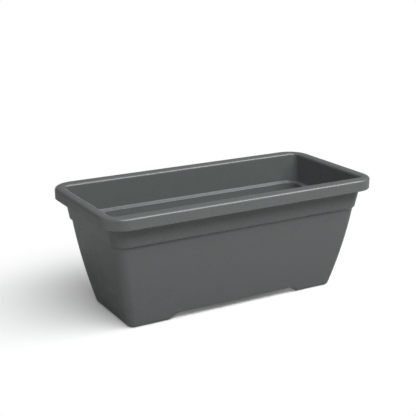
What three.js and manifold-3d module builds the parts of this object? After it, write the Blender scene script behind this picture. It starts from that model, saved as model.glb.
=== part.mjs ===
// Window box planter: one moulded trough with tapered, slightly bowed walls, a collar and a
// hooded rim, standing on two hollow feet, with a push-in plug in each drain hole of the floor
// that is raised between the feet. Millimetres, +Z up, X along the box. The origin is the
// middle of the footprint, on the ground.

import * as THREE from 'three';
import { mergeVertices } from 'three/addons/utils/BufferGeometryUtils.js';
import Module from 'manifold-3d';

const wasm = await Module();
wasm.setup();

// Overall sizes, over the rim.
const length = 600;
const width = 293;
const height = 240;

// Walls. A taper is how far a wall leans in from the shoulder down to the foot.
const wall = 3.5;
const endTaper = 35.9;
const sideTaper = 34;
const wallBow = 3;
const footRound = 6.2;
const floorRound = 5;
const footCorner = 14;
const bodyCorner = 21.5;
const leastCorner = 1;

// Rim: a hood whose apron hangs clear of the collar, narrower and rounder on the ends.
const rimCorner = 46.5;
const rimDrop = 22.9;
const rimThickness = 3;
const sideOverhang = 19;
const endOverhang = 18.5;
const sideRimTop = 26.5;
const endRimTop = 21;
const sideRimRound = 5.1;
const endRimRound = 6.6;
const mouthCorner = 10.5;
const apronDraft = 0.4;
const sideGrooveDraft = 0.5;
const endGrooveDraft = 1.5;
const edgeRound = 0.9;
const grooveRound = 2;

// Collar under the rim, and the sloped shoulder where it steps in to the tapered body.
const collarCorner = 29.5;
const collarDraft = 6;
const shoulderDepth = 62.7;
const shoulderRun = 5.5;
const shoulderRise = 5.2;
const ledgeRise = 2.8;

// Arch along the long sides, which lifts the floor between the two feet.
const archLength = 301;
const archRise = 13;
const archRamp = 19.9;
const archRound = 6;

// Drain holes, two rows of three, each with a pad under it and a sunk seat for its plug.
const drainColumns = 3;
const drainEndMargin = 38;
const drainSideMargin = 33;
const drainHoleRadius = 7;
const drainPadRadius = 15;
const drainPadDepth = 1.5;
const drainSeatDepth = 1.2;

// Plug: a flange with a pull tab over a split hollow shank.
const plugFlangeRadius = 11.5;
const plugFlange = 2.2;
const plugCrown = 0.7;
const plugProud = 3;
const plugShell = 1.6;
const plugLeadIn = 1;
const plugSlot = 2;
const tabWidth = 11;
const tabHeight = 8;
const tabThickness = 2.2;
const tabBead = 1.7;

// Clearances.
const shankClearance = 0.3;
const seatClearance = 0.3;
const flangeClearance = 0.6;

// Facets.
const cornerSteps = 9;
const roundSteps = 4;
const wallSteps = 6;
const archSteps = 2;
const turnedSides = 24;

// Heights and insets that follow from the sizes above.
const apronFoot = height - rimDrop;
const grooveTop = height - rimThickness;
const shoulderTop = height - shoulderDepth;
const shoulderFoot = shoulderTop - shoulderRise;
const collarDepth = apronFoot - shoulderTop;
const archAngle = Math.atan2(archRise, archRamp);

const lerp = THREE.MathUtils.lerp;

// ---------------------------------------------------------------- the section of the wall

// A section says, at a height, how far a skin lies in from the rim's outer face on the ends
// and on the sides, and how round its corners are.
function rimSection(end, side, corner) {
  return () => ({ end, side, corner });
}

function hoodSection(inset) {
  return rimSection(inset, inset, rimCorner - inset);
}

function collarSection(thickness) {
  return (z) => {
    const inset = collarDraft * ((apronFoot - z) / collarDepth) + thickness;
    const corner = collarCorner - thickness;
    return { end: endOverhang + inset, side: sideOverhang + inset, corner };
  };
}

function bodySection(thickness, inward = 0) {
  return (z) => {
    const rise = z / shoulderFoot;
    const bow = wallBow * 4 * rise * (1 - rise);
    const inset = collarDraft + shoulderRun + thickness + inward - bow;
    return {
      end: endOverhang + inset + endTaper * (1 - rise),
      side: sideOverhang + inset + sideTaper * (1 - rise),
      corner: Math.max(lerp(footCorner, bodyCorner, rise) - thickness - inward, leastCorner),
    };
  };
}

// ---------------------------------------------------------------- rings from foot to rim

// A ring is one level of a skin. Its lift is how much of the arch it follows.
function ring(section, z, lift = 0) {
  return { section, z, lift };
}

// Turns of a quarter round, from 0 on the level surface to a right angle on the wall.
function quarterTurns() {
  return Array.from({ length: roundSteps + 1 }, (_, i) => (i / roundSteps) * (Math.PI / 2));
}

function footRings(thickness, radius) {
  return quarterTurns().map((turn) => ring(
    bodySection(thickness, radius * (1 - Math.sin(turn))),
    thickness + radius * (1 - Math.cos(turn)),
    1,
  ));
}

function wallRings(thickness, bottom, top) {
  const shares = Array.from({ length: wallSteps }, (_, i) => (i + 1) / wallSteps);
  return shares.map((share) => (
    ring(bodySection(thickness), lerp(bottom, top, share), 1 - share)
  ));
}

// The groove's inner face, over the collar, with its top corner cut across.
function grooveRings() {
  const end = endOverhang - endGrooveDraft;
  const side = sideOverhang - sideGrooveDraft;
  return [
    ring(rimSection(end, side, collarCorner), grooveTop - grooveRound),
    ring(rimSection(end - grooveRound, side - grooveRound, collarCorner), grooveTop),
  ];
}

// The rounds on both edges of the rim's top, from the outer face to the mouth.
function crownRings() {
  const depth = (turn) => height - sideRimRound * (1 - Math.cos(turn));
  const outer = quarterTurns().reverse().map((turn) => {
    const near = 1 - Math.sin(turn);
    const side = sideRimRound * near;
    return ring(rimSection(endRimRound * near, side, rimCorner - side), depth(turn));
  });
  const inner = quarterTurns().map((turn) => {
    const near = 1 - Math.sin(turn);
    const side = sideRimRound * near;
    const end = endRimTop - endRimRound * near;
    return ring(rimSection(end, sideRimTop - side, mouthCorner + side), depth(turn));
  });
  return [...outer, ...inner];
}

function outerRings() {
  const hood = rimThickness + apronDraft;
  return [
    ...footRings(0, footRound),
    ...wallRings(0, footRound, shoulderFoot),
    ring(collarSection(0), shoulderTop),
    ring(collarSection(0), apronFoot),
    ...grooveRings(),
    ring(hoodSection(rimThickness + grooveRound), grooveTop),
    ring(hoodSection(rimThickness), grooveTop - grooveRound),
    ring(hoodSection(hood), apronFoot + edgeRound),
    ring(hoodSection(hood - edgeRound), apronFoot),
    ring(hoodSection(apronDraft + edgeRound), apronFoot),
    ring(hoodSection(apronDraft), apronFoot + edgeRound),
    ...crownRings(),
  ];
}

function innerRings() {
  return [
    ring(collarSection(wall), shoulderTop + ledgeRise),
    ...wallRings(wall, wall + floorRound, shoulderFoot + ledgeRise).reverse(),
    ...footRings(wall, floorRound).reverse(),
  ];
}

// ---------------------------------------------------------------- rings into a closed body

// The arch seen from the side, as points from one foot to the other, with its bends rounded.
// The inner skin lies a wall's thickness outside the outer one.
function archOutline(thickness) {
  const foot = archLength / 2 + thickness * Math.tan(archAngle / 2);
  const crest = foot - archRamp;
  const reach = archRound * Math.tan(archAngle / 2) + thickness;
  const alongX = reach * Math.cos(archAngle);
  const alongZ = reach * Math.sin(archAngle);
  const outline = new THREE.Path();
  outline.moveTo(-foot - reach, 0);
  outline.quadraticCurveTo(-foot, 0, -foot + alongX, alongZ);
  outline.lineTo(-crest - alongX, archRise - alongZ);
  outline.quadraticCurveTo(-crest, archRise, -crest + reach, archRise);
  outline.lineTo(crest - reach, archRise);
  outline.quadraticCurveTo(crest, archRise, crest + alongX, archRise - alongZ);
  outline.lineTo(foot - alongX, alongZ);
  outline.quadraticCurveTo(foot, 0, foot + reach, 0);
  return outline.getPoints(archSteps);
}

// The front half of a ring, from the left end to the right one. The back half mirrors it.
function frontHalf({ section, z, lift }, arch) {
  const { end, side, corner } = section(z);
  const left = [];
  for (let i = 0; i <= cornerSteps; i += 1) {
    const turn = (i / cornerSteps) * (Math.PI / 2);
    const x = length / 2 - end - corner * (1 - Math.cos(turn));
    const y = width / 2 - side - corner * (1 - Math.sin(turn));
    left.push(new THREE.Vector3(-x, -y, z));
  }
  const middle = arch.map((bend) => {
    const level = z + lift * bend.y;
    return new THREE.Vector3(bend.x, section(level).side - width / 2, level);
  });
  const right = left.map((p) => new THREE.Vector3(-p.x, p.y, p.z)).reverse();
  return [...left, ...middle, ...right];
}

function ringPoints(level, arch) {
  const front = frontHalf(level, arch);
  const back = front.map((p) => new THREE.Vector3(p.x, -p.y, p.z)).reverse();
  return [...front, ...back];
}

// Skins a stack of rings and closes both ends with rungs from the front half to the back half.
function loft(stack) {
  const around = stack[0].length;
  const positions = stack.flat().flatMap((p) => [p.x, p.y, p.z]);
  const index = [];
  for (let row = 0; row + 1 < stack.length; row += 1) {
    for (let i = 0; i < around; i += 1) {
      const a = row * around + i;
      const b = row * around + ((i + 1) % around);
      index.push(a, b, b + around, a, b + around, a + around);
    }
  }
  const closing = (row, upward) => {
    for (let i = 0; i + 1 < around / 2; i += 1) {
      const a = row * around + i;
      const d = row * around + around - 1 - i;
      const rung = [a, a + 1, d - 1, a, d - 1, d];
      index.push(...(upward ? rung : rung.reverse()));
    }
  };
  closing(0, false);
  closing(stack.length - 1, true);
  const geometry = new THREE.BufferGeometry();
  geometry.setAttribute('position', new THREE.Float32BufferAttribute(positions, 3));
  geometry.setIndex(index);
  return geometry;
}

// ---------------------------------------------------------------- solids

function solid(geometry) {
  const bare = geometry.clone();
  bare.deleteAttribute('normal');
  bare.deleteAttribute('uv');
  const merged = mergeVertices(bare, 1e-4);
  return new wasm.Manifold(new wasm.Mesh({
    numProp: 3,
    vertProperties: new Float32Array(merged.getAttribute('position').array),
    triVerts: new Uint32Array(merged.getIndex().array),
  }));
}

function geometryOf(body) {
  const mesh = body.getMesh();
  const geometry = new THREE.BufferGeometry();
  geometry.setAttribute('position', new THREE.BufferAttribute(mesh.vertProperties, 3));
  geometry.setIndex(new THREE.BufferAttribute(mesh.triVerts, 1));
  geometry.computeVertexNormals();
  return geometry;
}

function upright(radius, bottom, top) {
  const cylinder = new THREE.CylinderGeometry(radius, radius, top - bottom, turnedSides);
  cylinder.rotateX(Math.PI / 2);
  cylinder.translate(0, 0, (bottom + top) / 2);
  return cylinder;
}

// ---------------------------------------------------------------- the trough

function drainCentres() {
  const reachX = archLength / 2 - archRamp - drainEndMargin;
  const footInset = sideOverhang + collarDraft + shoulderRun + sideTaper;
  const reachY = width / 2 - footInset - wall - drainSideMargin;
  const centres = [];
  for (const y of [-reachY, reachY]) {
    for (let column = 0; column < drainColumns; column += 1) {
      const x = drainColumns > 1 ? lerp(-reachX, reachX, column / (drainColumns - 1)) : 0;
      centres.push(new THREE.Vector3(x, y, 0));
    }
  }
  return centres;
}

const floorTop = archRise + wall;
const padFoot = archRise - drainPadDepth;
const seatTop = floorTop - drainSeatDepth;

function trough() {
  const outerArch = archOutline(0);
  const innerArch = archOutline(wall);
  const stack = [
    ...outerRings().map((level) => ringPoints(level, outerArch)),
    ...innerRings().map((level) => ringPoints(level, innerArch)),
  ];
  let body = solid(loft(stack));
  for (const centre of drainCentres()) {
    const pad = upright(drainPadRadius, padFoot, floorTop - wall / 2).translate(...centre);
    const hole = upright(drainHoleRadius, padFoot - 1, floorTop + 1).translate(...centre);
    const seatRadius = plugFlangeRadius + flangeClearance;
    const seat = upright(seatRadius, seatTop, floorTop + 1).translate(...centre);
    body = body.add(solid(pad)).subtract(solid(hole)).subtract(solid(seat));
  }
  return geometryOf(body);
}

// ---------------------------------------------------------------- the plugs

// Turned about Z, with the underside of the flange at zero.
function plugTurned() {
  const shankRadius = drainHoleRadius - shankClearance;
  const foot = padFoot - plugProud - seatTop - seatClearance;
  const bore = shankRadius - plugShell;
  const profile = [
    [0, 0],
    [bore, 0],
    [bore, foot],
    [shankRadius - plugLeadIn / 2, foot],
    [shankRadius, foot + plugLeadIn],
    [shankRadius, 0],
    [plugFlangeRadius, 0],
    [plugFlangeRadius, plugFlange - plugCrown],
    [plugFlangeRadius - plugCrown, plugFlange],
    [0, plugFlange + plugCrown],
  ].map(([r, z]) => new THREE.Vector2(r, z));
  const turned = new THREE.LatheGeometry(profile, turnedSides);
  turned.rotateX(Math.PI / 2);
  return turned;
}

function pullTab() {
  const half = tabWidth / 2;
  const round = half / 2;
  const top = plugFlange + tabHeight;
  const outline = new THREE.Shape();
  outline.moveTo(-half, plugFlange / 2);
  outline.lineTo(half, plugFlange / 2);
  outline.lineTo(half, top - round);
  outline.absarc(half - round, top - round, round, 0, Math.PI / 2, false);
  outline.absarc(-half + round, top - round, round, Math.PI / 2, Math.PI, false);
  const blade = new THREE.ExtrudeGeometry(outline, {
    depth: tabThickness, bevelEnabled: false, curveSegments: roundSteps,
  });
  blade.rotateX(Math.PI / 2);
  blade.translate(0, tabThickness / 2, 0);
  const bead = new THREE.CapsuleGeometry(tabBead, tabWidth - 2 * round, roundSteps, 10);
  bead.rotateZ(Math.PI / 2);
  bead.translate(0, 0, top - tabBead);
  return solid(blade).add(solid(bead));
}

function drainPlug() {
  let body = solid(plugTurned()).add(pullTab());
  const slotDepth = -(padFoot - plugProud - seatTop);
  for (const [x, y] of [[2 * drainHoleRadius, plugSlot], [plugSlot, 2 * drainHoleRadius]]) {
    const slot = new THREE.BoxGeometry(x, y, slotDepth);
    slot.translate(0, 0, -slotDepth / 2 - plugSlot);
    body = body.subtract(solid(slot));
  }
  return geometryOf(body);
}

// ---------------------------------------------------------------- assembly

const planter = new THREE.Group();
planter.name = 'window_box_planter';

const troughMesh = new THREE.Mesh(
  trough(),
  new THREE.MeshStandardMaterial({ color: 0x5d5f5e, roughness: 0.55, metalness: 0 }),
);
troughMesh.name = 'trough';
planter.add(troughMesh);

drainCentres().forEach((centre, i) => {
  const plug = new THREE.Mesh(
    drainPlug(),
    new THREE.MeshStandardMaterial({ color: 0x2e3030, roughness: 0.6, metalness: 0 }),
  );
  plug.name = `drain_plug_${i + 1}`;
  plug.position.set(centre.x, centre.y, seatTop + seatClearance);
  planter.add(plug);
});

export default planter;
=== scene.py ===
# Window box planter in moulded plastic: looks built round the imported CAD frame.
import bpy
import math
from mathutils import Matrix, Vector


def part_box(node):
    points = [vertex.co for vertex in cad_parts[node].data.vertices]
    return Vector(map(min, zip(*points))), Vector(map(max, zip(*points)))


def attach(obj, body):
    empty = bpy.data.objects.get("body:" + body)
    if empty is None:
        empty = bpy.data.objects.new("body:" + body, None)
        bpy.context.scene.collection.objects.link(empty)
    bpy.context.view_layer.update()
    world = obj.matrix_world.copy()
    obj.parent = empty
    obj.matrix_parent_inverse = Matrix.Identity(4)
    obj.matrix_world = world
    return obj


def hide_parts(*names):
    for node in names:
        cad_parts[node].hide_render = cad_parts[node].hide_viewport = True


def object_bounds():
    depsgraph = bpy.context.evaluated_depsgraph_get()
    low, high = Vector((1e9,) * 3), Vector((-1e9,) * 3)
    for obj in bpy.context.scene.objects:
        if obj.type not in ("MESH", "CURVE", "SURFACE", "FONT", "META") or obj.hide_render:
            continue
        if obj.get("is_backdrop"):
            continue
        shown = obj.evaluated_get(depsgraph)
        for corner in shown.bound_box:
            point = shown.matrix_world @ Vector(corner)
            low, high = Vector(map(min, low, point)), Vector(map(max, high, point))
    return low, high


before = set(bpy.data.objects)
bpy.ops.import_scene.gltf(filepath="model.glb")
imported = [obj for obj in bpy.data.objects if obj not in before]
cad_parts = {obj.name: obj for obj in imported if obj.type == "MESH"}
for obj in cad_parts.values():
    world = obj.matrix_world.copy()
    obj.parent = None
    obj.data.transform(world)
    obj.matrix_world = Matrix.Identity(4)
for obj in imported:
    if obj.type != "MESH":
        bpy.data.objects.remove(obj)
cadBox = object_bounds()
mm = 0.001
hair = 0.004 * mm       # points closer than this are one
plugNodes = sorted(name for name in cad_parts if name.startswith("drain_plug"))


# A node output that takes part in arithmetic.
class Wire:
    def __init__(self, graph, socket):
        self.graph, self.socket = graph, socket

    def __add__(self, other):
        return self.graph.maths("ADD", self, other)

    def __sub__(self, other):
        return self.graph.maths("SUBTRACT", self, other)

    def __rsub__(self, other):
        return self.graph.maths("SUBTRACT", other, self)

    def __mul__(self, other):
        return self.graph.maths("MULTIPLY", self, other)

    def __truediv__(self, other):
        return self.graph.maths("DIVIDE", self, other)

    def __neg__(self):
        return self.graph.maths("MULTIPLY", self, -1.0)

    __radd__ = __add__
    __rmul__ = __mul__


# A node tree, and the one way a node gets into it: type, settings, then values or wires.
class Graph:
    def __init__(self, tree):
        self.tree = tree

    def put(self, kind, settings=None, inputs=(), output=0):
        node = self.tree.nodes.new(kind)
        for name, value in (settings or {}).items():
            setattr(node, name, value)
        pairs = inputs.items() if isinstance(inputs, dict) else enumerate(inputs)
        for key, value in pairs:
            for one in value if isinstance(value, list) else [value]:
                if isinstance(one, Wire):
                    self.tree.links.new(one.socket, node.inputs[key])
                else:
                    node.inputs[key].default_value = one
        return Wire(self, node.outputs[output]) if len(node.outputs) else None

    def maths(self, operation, *values):
        return self.put("ShaderNodeMath", {"operation": operation}, values)

    # Maps low..high to start..end and holds the ends.
    def ramp(self, value, low, high, start=0.0, end=1.0):
        settings = {"clamp": True}
        return self.put("ShaderNodeMapRange", settings, (value, low, high, start, end))


# The empty graph of a material or a world.
def newGraph(owner):
    owner.use_nodes = True
    owner.node_tree.nodes.clear()
    return Graph(owner.node_tree)


# A geometry tree and its inputs as wires. inputs: label -> (socket type, default).
def newTree(name, inputs):
    tree = bpy.data.node_groups.new(name, "GeometryNodeTree")
    tree.is_modifier = True
    face = tree.interface
    face.new_socket("Geometry", in_out="INPUT", socket_type="NodeSocketGeometry")
    face.new_socket("Geometry", in_out="OUTPUT", socket_type="NodeSocketGeometry")
    for label, (kind, value) in inputs.items():
        socket = face.new_socket(label, in_out="INPUT", socket_type="NodeSocket" + kind)
        if value is not None:
            socket.default_value = value
    graph = Graph(tree)
    source = tree.nodes.new("NodeGroupInput")
    given = {s.name: Wire(graph, s) for s in source.outputs if s.name}
    return graph, given


def endTree(graph, geometry, material):
    real = graph.put("GeometryNodeRealizeInstances", None, (geometry,))
    dressed = graph.put("GeometryNodeSetMaterial", None, {"Geometry": real, "Material": material})
    graph.put("NodeGroupOutput", None, (dressed,))
    return graph.tree


# Joins or cuts closed meshes.
def solve(graph, operation, inputs):
    settings = {"operation": operation, "solver": "MANIFOLD"}
    return graph.put("GeometryNodeMeshBoolean", settings, inputs)


# Runs a tree on an object and keeps the result as that object's plain mesh.
def growMesh(piece, tree, values):
    modifier = piece.modifiers.new(tree.name, "NODES")
    modifier.node_group = tree
    names = {s.name: s.identifier for s in tree.interface.items_tree if s.in_out == "INPUT"}
    for label, value in values.items():
        modifier[names[label]] = value
    piece.data.update()
    graphNow = bpy.context.evaluated_depsgraph_get()
    mesh = bpy.data.meshes.new_from_object(piece.evaluated_get(graphNow))
    piece.modifiers.remove(modifier)
    mesh.name = piece.name
    piece.data = mesh
    return piece


def addObject(name, data):
    thing = bpy.data.objects.new(name, data)
    bpy.context.scene.collection.objects.link(thing)
    return thing


# Loose points that a tree puts copies on.
def pointPiece(name, places):
    mesh = bpy.data.meshes.new(name)
    mesh.from_pydata(places, [], [])
    return addObject(name, mesh)


# Loose points that only carry a table of numbers for a tree to read.
def tablePiece(name, labels, rows):
    piece = pointPiece(name, [(0.0, 0.0, 0.0)] * len(rows))
    for label, column in zip(labels, zip(*rows)):
        piece.data.attributes.new(label, "FLOAT", "POINT").data.foreach_set("value", column)
    return piece


# A line through corners (across, up, two extras, round): each corner becomes an arc, and each
# straight has points close to its ends, so that flats stay flat when shaded.
def roundedLine(corners, arcSteps, support, longest):
    out = []

    def straight(a, b):
        span = (b - a).xy.length
        if span < 3 * support:
            return
        count = math.ceil((span - 2 * support) / longest)
        for k in range(count + 1):
            out.append(a.lerp(b, (support + (span - 2 * support) * k / count) / span))

    points = [(Vector(c[:4]), c[4]) for c in corners]
    last = points[0][0]
    out.append(last)
    for (before, _), (corner, radius), (after, _) in zip(points, points[1:], points[2:]):
        comeIn = (corner - before).xy.normalized()
        goOut = (after - corner).xy.normalized()
        turn = comeIn.angle(goOut)
        reach = radius * math.tan(turn / 2)
        start = corner.lerp(before, reach / (before - corner).xy.length)
        end = corner.lerp(after, reach / (after - corner).xy.length)
        straight(last, start)
        middle = corner.xy + (goOut - comeIn).normalized() * radius / math.cos(turn / 2)
        steps = max(1, round(arcSteps * turn / (math.pi / 2))) if radius else 0
        for k in range(steps + 1):
            share = k / max(steps, 1)
            fromStart = (start.xy - middle) * math.sin((1 - share) * turn)
            fromEnd = (end.xy - middle) * math.sin(share * turn)
            point = start.lerp(end, share)
            if radius:
                point.xy = middle + (fromStart + fromEnd) / math.sin(turn)
            out.append(point)
        last = end
    straight(last, points[-1][0])
    out.append(points[-1][0])
    return out


# A grid whose rows follow a table of points: the grid, each vertex's column, and a reader for
# what its row's point holds.
def rowGrid(graph, table, first, rows, columns):
    put = graph.put
    grid = put("GeometryNodeMeshGrid", None, {"Vertices X": columns, "Vertices Y": rows})
    index = put("GeometryNodeInputIndex")
    column = graph.maths("FLOOR", (index + 0.5) / rows)
    row = index - column * rows + first

    def read(label):
        field = put("GeometryNodeInputNamedAttribute", {"data_type": "FLOAT"}, {"Name": label})
        return put("GeometryNodeSampleIndex", {"data_type": "FLOAT", "domain": "POINT"},
                   {"Geometry": table, "Value": field, "Index": row})

    return grid, column, read


turnedLabels = ("radius", "level", "spread")


# Turns rows of (radius, level, spread) about Z. The spread pulls a round apart into a slot shape.
def turned(graph, table, first, rows, segments):
    grid, column, read = rowGrid(graph, table, first, rows, segments + 1)
    angle = column * (2 * math.pi) / segments
    radius, level, spread = map(read, turnedLabels)
    across = graph.maths("COSINE", angle)
    side = graph.maths("SIGN", graph.maths("ROUND", across * 1000.0))    # 0 on the middle line
    x = radius * across + spread * side
    y = radius * graph.maths("SINE", angle)
    spot = graph.put("ShaderNodeCombineXYZ", None, (x, y, level))
    skin = graph.put("GeometryNodeSetPosition", None, {"Geometry": grid, "Position": spot})
    return graph.put("GeometryNodeMergeByDistance", None, {"Geometry": skin, "Distance": hair})


cameraLook = {
    "place": (-0.91907, -1.56177, 0.72722),
    "forward": (0.47902, 0.82931, -0.28774),
    "up": (0.14380, 0.24922, 0.95771),
    "lens": 80.87,
    "sensor": 36.0,
    "clip": (0.05, 50.0),
}


def makeCamera(look):
    data = bpy.data.cameras.new("camera")
    data.lens, data.sensor_width = look["lens"], look["sensor"]
    data.clip_start, data.clip_end = look["clip"]
    camera = addObject("camera", data)
    back = -Vector(look["forward"]).normalized()
    right = Vector(look["up"]).cross(back).normalized()
    up = back.cross(right)
    facing = Matrix((right, up, back)).transposed()
    camera.matrix_world = Matrix.Translation(look["place"]) @ facing.to_4x4()
    bpy.context.scene.camera = camera
    print("camera set")


troughPlastic = {
    "colour": (0.1115, 0.122, 0.119),
    "shade": 0.06,          # how far the pigment drifts
    "rough": 0.28,
    "roughDrift": 0.05,
    "bend": 1.58,           # index of refraction
    "flow": 6.0,            # patches of the drift in a metre
    "flowDetail": 3.0,
    "grain": 900.0,         # grains in a metre
    "grainDetail": 2.0,
    "grainShade": 0.5,      # the grain's own shade, as a share of the drift's
    "grainDepth": 0.00003,
    "grainStrength": 0.6,
}

plugPlastic = {
    **troughPlastic,
    "colour": (0.022, 0.023, 0.023),
    "shade": 0.05,
    "rough": 0.42,
    "roughDrift": 0.08,
    "bend": 1.5,
    "flow": 20.0,
    "grain": 1100.0,
    "grainDepth": 0.00002,
}


def mouldedPlastic(name, look):
    material = bpy.data.materials.new(name)
    graph = newGraph(material)
    place = graph.put("ShaderNodeTexCoord", output="Object")

    def noise(kind):
        inputs = {"Vector": place, "Scale": look[kind], "Detail": look[kind + "Detail"]}
        return graph.put("ShaderNodeTexNoise", None, inputs) - 0.5

    drift, grain = noise("flow"), noise("grain")
    lift = 1.0 + drift * look["shade"] + grain * (look["shade"] * look["grainShade"])
    tint = graph.put("ShaderNodeVectorMath", {"operation": "SCALE"},
                     {0: look["colour"], "Scale": lift})
    rough = look["rough"] + drift * look["roughDrift"] + grain * look["roughDrift"]
    bump = graph.put("ShaderNodeBump", None,
                     {"Strength": look["grainStrength"], "Distance": look["grainDepth"],
                      "Height": grain})
    shader = graph.put("ShaderNodeBsdfPrincipled", None,
                       {"Base Color": tint, "Roughness": rough, "Normal": bump, "IOR": look["bend"]})
    graph.put("ShaderNodeOutputMaterial", None, {"Surface": shader})
    return material


troughLow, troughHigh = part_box("trough")
trough = {
    "length": troughHigh.x - troughLow.x,
    "width": troughHigh.y - troughLow.y,
    "height": troughHigh.z,
    "wall": 3.5 * mm,
    "endTaper": 35.9 * mm,
    "sideTaper": 34 * mm,
    "bow": 3 * mm,
    "footRound": 6.2 * mm,
    "floorRound": 5 * mm,
    "flatMargin": 1.5 * mm,         # how far past those rounds the flats start
    "footCorner": 14 * mm,
    "bodyCorner": 21.5 * mm,
    "rimCorner": 46.5 * mm,
    "sideOverhang": 19 * mm,
    "endOverhang": 18.5 * mm,
    "rimDrop": 22.9 * mm,
    "rimThickness": 3 * mm,
    "sideRimTop": 26.5 * mm,
    "sideRimRound": 5.6 * mm,
    "endRimTop": 21 * mm,
    "endRimRound": 6.6 * mm,
    "mouthCorner": 10.5 * mm,
    "apronDraft": 0.4 * mm,
    "edgeRound": 0.9 * mm,
    "sideGrooveDraft": 0.5 * mm,
    "endGrooveDraft": 1.5 * mm,
    "grooveRound": 2 * mm,
    "grooveEdgeRound": 0.2 * mm,
    "collarCorner": 29.5 * mm,
    "collarDraft": 6 * mm,
    "shoulderDepth": 62.7 * mm,
    "shoulderRun": 5.5 * mm,
    "shoulderRise": 5.2 * mm,
    "shoulderRound": 1.2 * mm,
    "ledgeRise": 1.9 * mm,
    "ledgeFall": 4.4 * mm,
    "ledgeRound": 1.3 * mm,
    "archLength": 301 * mm,
    "archRise": 13 * mm,
    "archRamp": 19.9 * mm,
    "archReach": 1.9 * mm,          # how far the arch's bends are rounded
    "archCrisp": 0.6,               # how much tighter the foot's round gets along the arch
    "holeRadius": 7 * mm,
    "holeBevel": 0.35 * mm,
    "holeSides": 72,
    "padRadius": 15 * mm,
    "padDepth": 1.5 * mm,
    "seatRadius": 12.1 * mm,
    "seatDepth": 1.2 * mm,
    "gateRadius": 5 * mm,
    "gateDepth": 0.6 * mm,
    "pipRadius": 1.5 * mm,          # the stub left standing in the gate mark
    "pipSpread": 0.3 * mm,
    "pinRadius": 4 * mm,
    "pinDepth": 0.25 * mm,
    "spare": 2 * mm,                # how far a tool or a dense stretch goes past its work
    "arcSteps": 8,
    "support": 1.0 * mm,
    "longest": 12 * mm,
    "sharp": 32,                    # degrees between faces past which an edge is crisp
    "columns": {"middle": 5, "bend": 16, "foot": 5, "corner": 14, "end": 6},
}


# What each row of the section holds. inset and end are how far in it lies on the sides and the
# ends, lift is its share of the arch's climb, skin is the wall where it is inside, curl and drop
# are what a crisp foot takes off its inset and level, and across is 0 on the middle line.
sectionLabels = ("inset", "end", "level", "corner", "lift", "skin", "curl", "drop", "across")


# The wall's section from the middle of the underside, over the rim, to the middle of the floor.
# Below the shoulder it is drawn upright: the tree adds the taper and the bow.
def sectionRows(t):
    apronFoot = t["height"] - t["rimDrop"]
    grooveTop = t["height"] - t["rimThickness"]
    shoulderTop = t["height"] - t["shoulderDepth"]
    shoulderFoot = shoulderTop - t["shoulderRise"]
    collarTop = t["sideOverhang"]
    collarFoot = collarTop + t["collarDraft"]
    body = collarFoot + t["shoulderRun"]
    groove = collarTop - t["sideGrooveDraft"]
    hood = t["rimThickness"] + t["apronDraft"]
    wall, rise = t["wall"], t["ledgeRise"]
    ledge = collarFoot - t["collarDraft"] * rise / (apronFoot - shoulderTop) + wall
    ledgeFoot = shoulderTop + rise - t["ledgeFall"]
    rim, top = t["rimCorner"], t["height"]
    flat = t["footRound"] + t["flatMargin"]
    flatIn = t["floorRound"] + t["flatMargin"]
    crown = t["sideRimRound"] + t["support"]
    # How much further in the ends lie than the sides, from the collar up to the mouth.
    end = t["endOverhang"] - collarTop
    grooveEnd = end - t["endGrooveDraft"] + t["sideGrooveDraft"]
    roundEnd = t["endRimRound"] - t["sideRimRound"]
    mouthEnd = t["endRimTop"] - t["sideRimTop"]
    # Each corner: inset on the sides, level, radius seen from above, ends' extra inset, round.
    corners = [
        (body + flat, 0.0, t["footCorner"] - flat, end, 0),
        (body, 0.0, t["footCorner"], end, t["footRound"]),
        (body, shoulderFoot, t["bodyCorner"], end, t["shoulderRound"]),
        (collarFoot, shoulderTop, t["collarCorner"], end, t["shoulderRound"]),
        (collarTop, apronFoot, t["collarCorner"], end, t["grooveEdgeRound"]),
        (groove, grooveTop, t["collarCorner"], grooveEnd, t["grooveRound"]),
        (t["rimThickness"], grooveTop, rim - t["rimThickness"], 0.0, t["grooveRound"]),
        (hood, apronFoot, rim - hood, 0.0, t["edgeRound"]),
        (t["apronDraft"], apronFoot, rim - t["apronDraft"], 0.0, t["edgeRound"]),
        (0.0, top, rim, 0.0, t["sideRimRound"]),
        (crown, top, rim - crown, roundEnd, 0),
        (t["sideRimTop"] - crown, top, t["mouthCorner"] + crown, mouthEnd - roundEnd, 0),
        (t["sideRimTop"], top, t["mouthCorner"], mouthEnd, t["sideRimRound"]),
        (ledge, shoulderTop + rise, t["collarCorner"] - wall, end, t["ledgeRound"]),
        (body + wall, ledgeFoot, t["bodyCorner"] - wall, end, t["ledgeRound"]),
        (body + wall, wall, t["footCorner"] - wall, end, t["floorRound"]),
        (body + wall + flatIn, wall, t["footCorner"] - wall - flatIn, end, 0),
    ]
    line = roundedLine(corners, t["arcSteps"], t["support"], t["longest"])
    crest = max(range(len(line)), key=lambda k: line[k].y - abs(line[k].x - t["sideRimTop"] / 2))
    rows = []
    for k, point in enumerate(line):
        inside = k > crest
        skin = wall if inside else 0.0
        fillet = wall + t["floorRound"] if inside else t["footRound"]
        lift = 1 - min(max((point.y - fillet) / (shoulderFoot - fillet), 0), 1)
        inFoot = point.y < t["footRound"] and not inside
        curl = point.x - body if inFoot else 0.0
        drop = 0.0 if inside else min(point.y, t["footRound"] * lift)
        rows.append((point.x, point.x + point.w, point.y, point.z, lift, skin, curl, drop, 1.0))
    # The first and last row again, drawn to the middle line.
    return [rows[0][:-1] + (0.0,), *rows, rows[-1][:-1] + (0.0,)]


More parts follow.
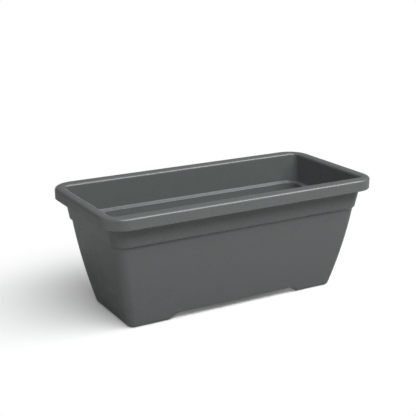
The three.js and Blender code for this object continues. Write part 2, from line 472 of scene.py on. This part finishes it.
def troughTree(t):
    sizes = ("length", "width", "endTaper", "sideTaper", "bow", "archLength", "archRise",
             "archRamp", "archReach", "archCrisp", "wall")
    tools = ("drains", "pad", "bore", "gateSpot", "gate", "pinSpots", "pin")
    inputs = {label: ("Float", t[label]) for label in sizes}
    inputs["shoulderFoot"] = ("Float", t["height"] - t["shoulderDepth"] - t["shoulderRise"])
    inputs["rows"] = ("Int", 2)
    inputs.update({label: ("Object", None) for label in tools})
    inputs["material"] = ("Material", None)
    graph, given = newTree("troughShell", inputs)
    put, ramp = graph.put, graph.ramp

    # A quarter of the box as a grid: columns run from the middle of a side to the middle of
    # an end, rows follow the section.
    columns = t["columns"]
    bendEnd = columns["middle"] + columns["bend"]
    sideEnd = bendEnd + columns["foot"]
    cornerEnd = sideEnd + columns["corner"]
    last = cornerEnd + columns["end"]
    grid, column, read = rowGrid(graph, given["Geometry"], 0, given["rows"], last + 1)
    inset, end, level, corner, lift, skin, curl, drop, across = map(read, sectionLabels)

    # The arch: a ramp between two levels, its bends rounded, a wall further out inside.
    halfAngle = math.atan2(t["archRise"], t["archRamp"]) / 2
    slope = given["archRise"] / given["archRamp"]
    halfArch = given["archLength"] / 2
    bendOut = halfArch + (t["archReach"] + t["wall"] * 2 + t["spare"])
    bendIn = halfArch - given["archRamp"] - (t["archReach"] + t["wall"] + t["spare"])
    middleX = ramp(column, 0.0, columns["middle"], 0.0, bendIn)
    bendX = ramp(column, columns["middle"], bendEnd, 0.0, bendOut - bendIn)
    archX = middleX + bendX
    soft = slope * (given["archReach"] + skin)
    climb = slope * (halfArch + skin * math.tan(halfAngle) - archX)
    climb = graph.maths("SMOOTH_MAX", climb, 0.0, soft)
    climb = graph.maths("SMOOTH_MIN", climb, given["archRise"], soft)
    crisp = given["archCrisp"] * climb / given["archRise"]
    z = level - crisp * drop + lift * climb
    inset = inset - crisp * curl
    end = end - crisp * curl

    # Taper and bow below the shoulder.
    rise = ramp(z, 0.0, given["shoulderFoot"])
    bow = given["bow"] * 4.0 * rise * (1 - rise)    # full at half height
    halfX = given["length"] / 2 - end - given["endTaper"] * (1 - rise) + bow
    halfY = given["width"] / 2 - inset - given["sideTaper"] * (1 - rise) + bow
    straightX = halfX - corner
    straightY = halfY - corner
    footX = ramp(column, bendEnd, sideEnd, 0.0, straightX - bendOut)
    turn = ramp(column, sideEnd, cornerEnd, 0.0, math.pi / 2)
    endShare = ramp(column, cornerEnd, last)
    x = archX + footX + corner * graph.maths("SINE", turn)
    y = straightY * (1 - endShare) + corner * graph.maths("COSINE", turn)
    spot = put("ShaderNodeCombineXYZ", None, (x, -(y * across), z))
    quarter = put("GeometryNodeSetPosition", None, {"Geometry": grid, "Position": spot})

    def mirrored(geometry, scale):
        other = put("GeometryNodeTransform", None, {"Geometry": geometry, "Scale": scale})
        other = put("GeometryNodeFlipFaces", None, {"Mesh": other})
        return put("GeometryNodeJoinGeometry", None, ([other, geometry],))

    shell = mirrored(mirrored(quarter, (-1, 1, 1)), (1, -1, 1))
    shell = put("GeometryNodeMergeByDistance", None, {"Geometry": shell, "Distance": hair})

    # A pad under each drain hole, then the hole itself with its sunk seat, and the marks that
    # the mould leaves: a gate under the floor and ejector pins on top of it.
    def copies(spots, tool):
        points = put("GeometryNodeObjectInfo", None, {"Object": given[spots]}, "Geometry")
        shape = put("GeometryNodeObjectInfo", None, {"Object": given[tool]}, "Geometry")
        many = put("GeometryNodeInstanceOnPoints", None, {"Points": points, "Instance": shape})
        return put("GeometryNodeRealizeInstances", None, (many,))

    shell = solve(graph, "UNION", {"Mesh 2": [shell, copies("drains", "pad")]})
    cuts = [copies("drains", "bore"), copies("gateSpot", "gate"), copies("pinSpots", "pin")]
    shell = solve(graph, "DIFFERENCE", {"Mesh 1": shell, "Mesh 2": cuts})
    return endTree(graph, shell, given["material"])


# What each drain hole and mould mark adds or takes away, as lines of (radius, level) to turn.
def drainTools(t):
    under = t["archRise"]
    floorTop = under + t["wall"]
    padFoot = under - t["padDepth"]
    seatTop = floorTop - t["seatDepth"]
    gateTop = under + t["gateDepth"]
    pinFoot = floorTop - t["pinDepth"]
    bevel, spare = t["holeBevel"], t["spare"]
    hole, seat, pad = t["holeRadius"], t["seatRadius"], t["padRadius"]
    gate, pip, pin = t["gateRadius"], t["pipRadius"], t["pinRadius"]
    return {
        "pad": [
            (0, padFoot), (pad - bevel, padFoot), (pad, padFoot + bevel), (pad, under - bevel),
            (pad + 2 * bevel, under + bevel), (0, under + bevel),
        ],
        "bore": [
            (0, padFoot - spare), (hole + 2 * bevel, padFoot - spare),
            (hole + bevel, padFoot - bevel / 2), (hole, padFoot + bevel),
            (hole, seatTop - bevel), (hole + bevel, seatTop), (seat, seatTop),
            (seat, floorTop - bevel), (seat + 2 * bevel, floorTop + bevel),
            (seat + 2 * bevel, floorTop + spare), (0, floorTop + spare),
        ],
        "gate": [
            (0, under - spare), (gate + bevel, under - spare), (gate + bevel, under - bevel / 2),
            (gate, under + bevel / 2), (gate, gateTop), (pip + t["pipSpread"], gateTop),
            (pip, under + bevel / 2), (0, under + bevel / 3),
        ],
        "pin": [
            (0, pinFoot), (pin, pinFoot), (pin + bevel / 2, floorTop),
            (pin + bevel, floorTop + spare), (0, floorTop + spare),
        ],
    }


def turnedTree(t):
    inputs = {"rows": ("Int", 2), "segments": ("Int", t["holeSides"]), "material": ("Material", None)}
    graph, given = newTree("turnedTool", inputs)
    shape = turned(graph, given["Geometry"], 0, given["rows"], given["segments"])
    return endTree(graph, shape, given["material"])


# The tools and where they go: a pad and a bore at each plug, the gate in the middle, and the
# pins between and beside the plugs.
def toolPieces(t, material):
    spots = [((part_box(node)[0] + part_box(node)[1]) / 2).xy.to_3d() for node in plugNodes]
    right = max(spot.x for spot in spots)
    back = max(spot.y for spot in spots)
    pins = [(x * right / 2, y * back, 0.0) for x in (-1, 1) for y in (-1, 0, 1)]
    pins += [(-right, 0.0, 0.0), (right, 0.0, 0.0)]
    pieces = {
        "drains": pointPiece("drain_spots", spots),
        "gateSpot": pointPiece("gate_spot", [(0.0, 0.0, 0.0)]),
        "pinSpots": pointPiece("pin_spots", pins),
    }
    tree = turnedTree(t)
    for name, line in drainTools(t).items():
        tool = tablePiece(name, turnedLabels, [(radius, level, 0.0) for radius, level in line])
        pieces[name] = growMesh(tool, tree, {"rows": len(line), "material": material})
    return pieces


def makeTrough(t, material):
    rows = sectionRows(t)
    piece = tablePiece("trough_shell", sectionLabels, rows)
    tools = toolPieces(t, material)
    growMesh(piece, troughTree(t), {"rows": len(rows), "material": material, **tools})
    for tool in tools.values():
        bpy.data.objects.remove(tool)
    piece.data.set_sharp_from_angle(angle=math.radians(t["sharp"]))
    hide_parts("trough")
    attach(piece, "trough")
    print("trough grown:", len(rows), "rows,", len(piece.data.polygons), "faces")


plug = {
    "gap": 0.3 * mm,                # between the flange and its seat
    "flange": 2.2 * mm,
    "crown": 0.7 * mm,
    "edgeRound": 0.6 * mm,
    "shankRadius": 6.7 * mm,
    "shankRound": 0.25 * mm,        # where the shank and the flange meet, and the flange's foot
    "shell": 1.6 * mm,
    "boreRound": 0.8 * mm,
    "footRound": 0.4 * mm,
    "leadIn": 1.0 * mm,
    "leadRound": 0.5 * mm,
    "slot": 2.0 * mm,
    "slotReach": 2.4,               # the slots' length in shank radii
    "tabWidth": 11 * mm,
    "tabRound": 2.75 * mm,
    "tabThickness": 2.2 * mm,
    "bead": 1.7 * mm,
    "fillet": 0.9 * mm,
    "arcSteps": 6,
    "support": 0.3 * mm,
    "longest": 3 * mm,
    "sides": 72,
}


# Rows of the turned body, then rows of the pull tab, both measured up from the flange's underside.
def plugRows(p, radius, foot, top):
    shank, flange = p["shankRadius"], p["flange"]
    bore = shank - p["shell"]
    corners = [
        (0, -p["shell"], 0, 0, 0),
        (bore, -p["shell"], 0, 0, p["boreRound"]),
        (bore, foot, 0, 0, p["footRound"]),
        (shank - p["leadIn"] / 2, foot, 0, 0, p["footRound"]),
        (shank, foot + p["leadIn"], 0, 0, p["leadRound"]),
        (shank, 0, 0, 0, p["shankRound"]),
        (radius, 0, 0, 0, p["shankRound"]),
        (radius, flange, 0, 0, p["edgeRound"]),
        (0, flange + p["crown"], 0, 0, 0),
    ]
    line = roundedLine(corners, p["arcSteps"], p["support"], p["longest"])
    body = [(point.x, point.y, 0.0) for point in line]

    blade, half, fillet = p["tabThickness"] / 2, p["tabWidth"] / 2, p["fillet"]
    seat = flange + p["crown"] / 2
    tab = [(0.0, flange / 2, half - blade), (blade + fillet, flange / 2, half - blade)]
    for k in range(p["arcSteps"] + 1):
        turn = k / p["arcSteps"] * math.pi / 2
        flare = fillet * (1 - math.sin(turn))
        tab.append((blade + flare, seat + fillet * (1 - math.cos(turn)), half - blade))
    beadLevel = top - p["bead"]
    leave = -math.acos(blade / p["bead"])
    for k in range(2 * p["arcSteps"] + 1):
        turn = leave + (math.pi / 2 - leave) * k / (2 * p["arcSteps"])
        thick = p["bead"] * math.cos(turn)
        level = beadLevel + p["bead"] * math.sin(turn)
        over = max(level - (top - p["tabRound"]), 0.0)
        reach = half - p["tabRound"] + math.sqrt(max(p["tabRound"] ** 2 - over ** 2, 0.0))
        tab.append((thick, level, reach - thick))
    return body, tab


def plugTree(p):
    inputs = {
        "slot": ("Float", p["slot"]),
        "slotReach": ("Float", p["slotReach"]),
        "shank": ("Float", p["shankRadius"]),
        "foot": ("Float", 0.0),
        "bodyRows": ("Int", 8),
        "tabRows": ("Int", 8),
        "sides": ("Int", p["sides"]),
        "place": ("Vector", None),
        "material": ("Material", None),
    }
    graph, given = newTree("drainPlug", inputs)
    put = graph.put
    table, sides = given["Geometry"], given["sides"]
    body = turned(graph, table, 0, given["bodyRows"], sides)
    tab = turned(graph, table, given["bodyRows"], given["tabRows"], sides)
    shape = solve(graph, "UNION", {"Mesh 2": [body, tab]})

    # Two crossed slots that let the shank spring as it is pushed in.
    depth = -given["foot"]
    span = given["shank"] * given["slotReach"]
    lower = put("ShaderNodeCombineXYZ", None, (0.0, 0.0, -(depth / 2) - given["slot"]))
    slots = []
    for size in ((span, given["slot"]), (given["slot"], span)):
        block = put("ShaderNodeCombineXYZ", None, (*size, depth))
        block = put("GeometryNodeMeshCube", None, {"Size": block})
        slots.append(put("GeometryNodeTransform", None, {"Geometry": block, "Translation": lower}))
    shape = solve(graph, "DIFFERENCE", {"Mesh 1": shape, "Mesh 2": slots})
    shape = put("GeometryNodeTransform", None, {"Geometry": shape, "Translation": given["place"]})
    return endTree(graph, shape, given["material"])


def makePlugs(p, t, material):
    tree = plugTree(p)
    seat = t["archRise"] + t["wall"] - t["seatDepth"] + p["gap"]
    for node in plugNodes:
        low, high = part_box(node)
        body, tab = plugRows(p, (high.x - low.x) / 2, low.z - seat, high.z - seat)
        piece = tablePiece("pushed_" + node, turnedLabels, body + tab)
        place = ((low.x + high.x) / 2, (low.y + high.y) / 2, seat)
        growMesh(piece, tree, {"bodyRows": len(body), "tabRows": len(tab), "foot": low.z - seat,
                               "place": place, "material": material})
        piece.data.set_sharp_from_angle(angle=math.radians(t["sharp"]))
        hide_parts(node)
        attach(piece, node.replace("drain_", ""))
        print(piece.name, "seated:", len(piece.data.polygons), "faces")


# Lamps are aimed at the middle of the box: turned from +X, raised from the floor, in degrees.
studio = {
    "softbox": {"turn": 293, "raise": 50, "away": 2.4, "size": (3.6, 0.8), "power": 79.0},
    "highStrip": {"turn": 293, "raise": 68, "away": 2.4, "size": (3.0, 0.9), "power": 15.5,
                  "tint": (0.94, 1.0, 1.05)},
    "rightFill": {"turn": 350, "raise": 40, "away": 2.4, "size": (1.4, 1.4), "power": 1.3},
    "leftRim": {"turn": 160, "raise": 25, "away": 2.4, "size": (1.4, 1.0), "power": 0.4},
    "backTop": {"turn": 100, "raise": 60, "away": 2.4, "size": (2.0, 1.0), "power": 2.7},
    "backCard": {"turn": 80, "raise": 3, "away": 1.6, "size": (1.8, 0.24), "power": 2.6},
    "leftCard": {"turn": 184, "raise": 0, "away": 1.1, "size": (1.2, 0.18), "power": 1.05},
}

surroundings = {
    "sky": 0.14,            # what the world adds to the lamps
    "paperBounce": 0.38,    # how much light the floor sends back up
    "paperSeen": 1.0,       # the floor as the camera sees it
    "clear": (0.08, 0.43),  # metres from a spot over which the floor turns plain white
    "behind": 0.06,         # how far that spot lies behind the box's middle
    "oval": 0.55,           # a metre along the box counts this much
    "half": 14.0,
}


def makeLamp(name, look):
    data = bpy.data.lights.new(name, "AREA")
    data.shape, data.energy = "RECTANGLE", look["power"]
    data.color = look.get("tint", (1, 1, 1))
    data.size, data.size_y = look["size"]
    lamp = addObject(name, data)
    turn, up = math.radians(look["turn"]), math.radians(look["raise"])
    way = Vector((math.cos(turn) * math.cos(up), math.sin(turn) * math.cos(up), math.sin(up)))
    aim = Vector((0, 0, cadBox[1].z / 2))
    facing = way.to_track_quat("Z", "Y").to_matrix().to_4x4()
    lamp.matrix_world = Matrix.Translation(aim + way * look["away"]) @ facing
    lamp.visible_camera = False


# Paper that takes the box's shadow and turns plain white further out, for the camera only.
def paperMaterial(look):
    paper = bpy.data.materials.new("paper")
    graph = newGraph(paper)
    seen = graph.put("ShaderNodeLightPath", output="Is Camera Ray")
    place = graph.put("ShaderNodeTexCoord", output="Object")
    oval = graph.put("ShaderNodeVectorMath", {"operation": "MULTIPLY_ADD"},
                     (place, (look["oval"], 1, 1), (0, -look["behind"], 0)))
    away = graph.put("ShaderNodeVectorMath", {"operation": "LENGTH"}, (oval,), "Value")
    bounce, bright = look["paperBounce"], look["paperSeen"]
    shade = bounce + (bright - bounce) * seen
    colour = graph.put("ShaderNodeCombineColor", None, (shade, shade, shade))
    matte = graph.put("ShaderNodeBsdfDiffuse", None, {"Color": colour})
    white = graph.put("ShaderNodeEmission", None, {"Strength": 1.0})
    fade = seen * graph.ramp(away, *look["clear"])
    both = graph.put("ShaderNodeMixShader", None, (fade, matte, white))
    graph.put("ShaderNodeOutputMaterial", None, {"Surface": both})
    return paper


def makeFloor(look):
    half = look["half"]
    corners = [(-half, -half, 0), (half, -half, 0), (half, half, 0), (-half, half, 0)]
    mesh = bpy.data.meshes.new("floor")
    mesh.from_pydata(corners, [], [(0, 1, 2, 3)])
    mesh.materials.append(paperMaterial(look))
    addObject("floor", mesh)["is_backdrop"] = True


# White where the camera sees it, and a faint even light on the box.
def makeWorld(look):
    world = bpy.data.worlds.new("studio")
    bpy.context.scene.world = world
    graph = newGraph(world)
    seen = graph.put("ShaderNodeLightPath", output="Is Camera Ray")
    strength = look["sky"] + (1.0 - look["sky"]) * seen
    sky = graph.put("ShaderNodeBackground", None, {"Color": (1, 1, 1, 1), "Strength": strength})
    graph.put("ShaderNodeOutputWorld", None, {"Surface": sky})


def makeStudio(lamps, look):
    for name, lamp in lamps.items():
        makeLamp(name, lamp)
    makeWorld(look)
    makeFloor(look)
    print("studio set:", len(lamps), "lamps")


makeCamera(cameraLook)
makeTrough(trough, mouldedPlastic("trough_plastic", troughPlastic))
makePlugs(plug, trough, mouldedPlastic("plug_plastic", plugPlastic))
makeStudio(studio, surroundings)
bpy.context.scene.view_settings.view_transform = "Standard"

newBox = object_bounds()
print("size", [round(v, 5) for corner in (*cadBox, *newBox) for v in corner])
